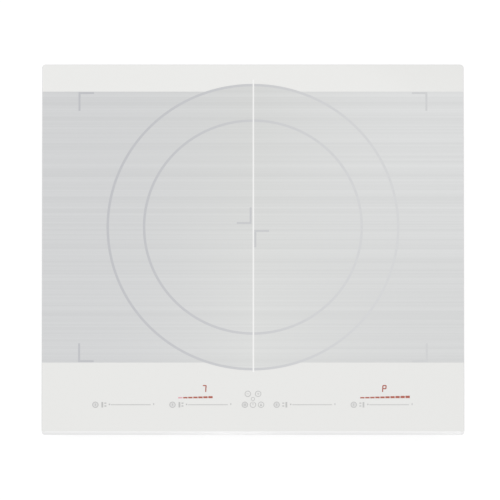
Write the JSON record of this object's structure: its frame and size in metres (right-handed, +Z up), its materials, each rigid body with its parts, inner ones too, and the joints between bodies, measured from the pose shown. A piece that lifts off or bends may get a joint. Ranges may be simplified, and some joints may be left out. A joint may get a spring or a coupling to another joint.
{
  "type": "induction cooktop",
  "caption": "Built-in white glass induction cooktop with a slim steel casing, coils, fans, touch controls and swivelling worktop clamps.",
  "frame": {"origin": "middle of the worktop plane, at the underside of the foam seal; the glass is above and the casing hangs below", "axes": "+X to the user's right, +Y to the back edge, +Z up; the user stands at -Y"},
  "size_m": [0.58, 0.52, 0.0585],
  "materials": {
    "glass_white": "polished opaque white glass-ceramic",
    "seal_foam": "soft grey-black foam tape",
    "rail_steel": "galvanised sheet steel",
    "casing_steel": "galvanised sheet steel, fine spangle",
    "screw_steel": "zinc-plated steel",
    "former_plastic": "black heat-proof moulding",
    "litz_copper": "enamelled copper litz wire",
    "ferrite": "sintered ferrite",
    "mica": "pressed mica sheet",
    "sensor_ceramic": "white ceramic cap",
    "carrier_aluminium": "mill-finish aluminium",
    "black_plastic": "black fine-texture moulding",
    "spring_steel": "bright spring steel",
    "board_laminate": "green solder mask on laminate",
    "component_black": "black epoxy",
    "component_grey": "grey moulded cases",
    "display_red": "red light guides",
    "ribbon_grey": "flat grey ribbon wire"
  },
  "bodies": {
    "casing": {"air_duct_left": "black_plastic", "air_duct_right": "black_plastic", "base_tray": "casing_steel", "board_screws": "screw_steel", "board_standoffs": "black_plastic", "cable_gland": "black_plastic", "clamp_screws": "screw_steel", "coil_carrier_left": "carrier_aluminium", "coil_carrier_right": "carrier_aluminium", "coil_ferrites_front_left": "ferrite", "coil_ferrites_front_right": "ferrite", "coil_ferrites_rear_left": "ferrite", "coil_ferrites_rear_right": "ferrite", "coil_former_front_left": "former_plastic", "coil_former_front_right": "former_plastic", "coil_former_rear_left": "former_plastic", "coil_former_rear_right": "former_plastic", "coil_winding_front_left": "litz_copper", "coil_winding_front_right": "litz_copper", "coil_winding_rear_left": "litz_copper", "coil_winding_rear_right": "litz_copper", "control_board": "board_laminate", "control_holder": "black_plastic", "display_modules": "display_red", "fan_housing_left": "black_plastic", "fan_housing_right": "black_plastic", "filter_board": "board_laminate", "filter_components": "component_black", "front_rail": "rail_steel", "glass_plate": "glass_white", "heatsink_left": "carrier_aluminium", "heatsink_right": "carrier_aluminium", "housing_screws": "screw_steel", "leaf_springs": "spring_steel", "mica_sheet_front_left": "mica", "mica_sheet_front_right": "mica", "mica_sheet_rear_left": "mica", "mica_sheet_rear_right": "mica", "power_board_left": "board_laminate", "power_board_right": "board_laminate", "power_capacitors": "component_grey", "power_chokes": "component_black", "power_transistors": "component_black", "rear_rail": "rail_steel", "ribbon_leads": "ribbon_grey", "side_rail_left": "rail_steel", "side_rail_right": "rail_steel", "support_pillars": "black_plastic", "temperature_sensors": "sensor_ceramic", "terminal_block": "component_grey", "terminal_box": "black_plastic", "touch_springs": "spring_steel", "worktop_seal": "seal_foam"},
    "fan_left": {"fan_rotor_left": "black_plastic"},
    "fan_right": {"fan_rotor_right": "black_plastic"},
    "terminal_flap": {"terminal_cover": "black_plastic"},
    "clamp_front_left": {"worktop_clamp_front_left": "spring_steel"},
    "clamp_front_right": {"worktop_clamp_front_right": "spring_steel"},
    "clamp_rear_left": {"worktop_clamp_rear_left": "spring_steel"},
    "clamp_rear_right": {"worktop_clamp_rear_right": "spring_steel"}
  },
  "joints": [
    {"name": "fan_spin_left", "type": "hinge", "parent": "casing", "child": "fan_left", "pos_m": [-0.228, 0.02, -0.0474], "axis": [0, 0, 1], "continuous": true},
    {"name": "fan_spin_right", "type": "hinge", "parent": "casing", "child": "fan_right", "pos_m": [0.228, 0.02, -0.0474], "axis": [0, 0, 1], "continuous": true},
    {"name": "terminal_flap_hinge", "type": "hinge", "parent": "casing", "child": "terminal_flap", "pos_m": [0.135, 0.241, -0.0156], "axis": [1, 0, 0], "range_deg": [0, 95]},
    {"name": "clamp_swivel_front_left", "type": "hinge", "parent": "casing", "child": "clamp_front_left", "pos_m": [-0.262, -0.225, -0.0424], "axis": [0, 0, -1], "range_deg": [0, 90]},
    {"name": "clamp_swivel_front_right", "type": "hinge", "parent": "casing", "child": "clamp_front_right", "pos_m": [0.262, -0.225, -0.0424], "axis": [0, 0, 1], "range_deg": [0, 90]},
    {"name": "clamp_swivel_rear_left", "type": "hinge", "parent": "casing", "child": "clamp_rear_left", "pos_m": [-0.262, 0.225, -0.0424], "axis": [0, 0, 1], "range_deg": [0, 90]},
    {"name": "clamp_swivel_rear_right", "type": "hinge", "parent": "casing", "child": "clamp_rear_right", "pos_m": [0.262, 0.225, -0.0424], "axis": [0, 0, -1], "range_deg": [0, 90]}
  ]
}
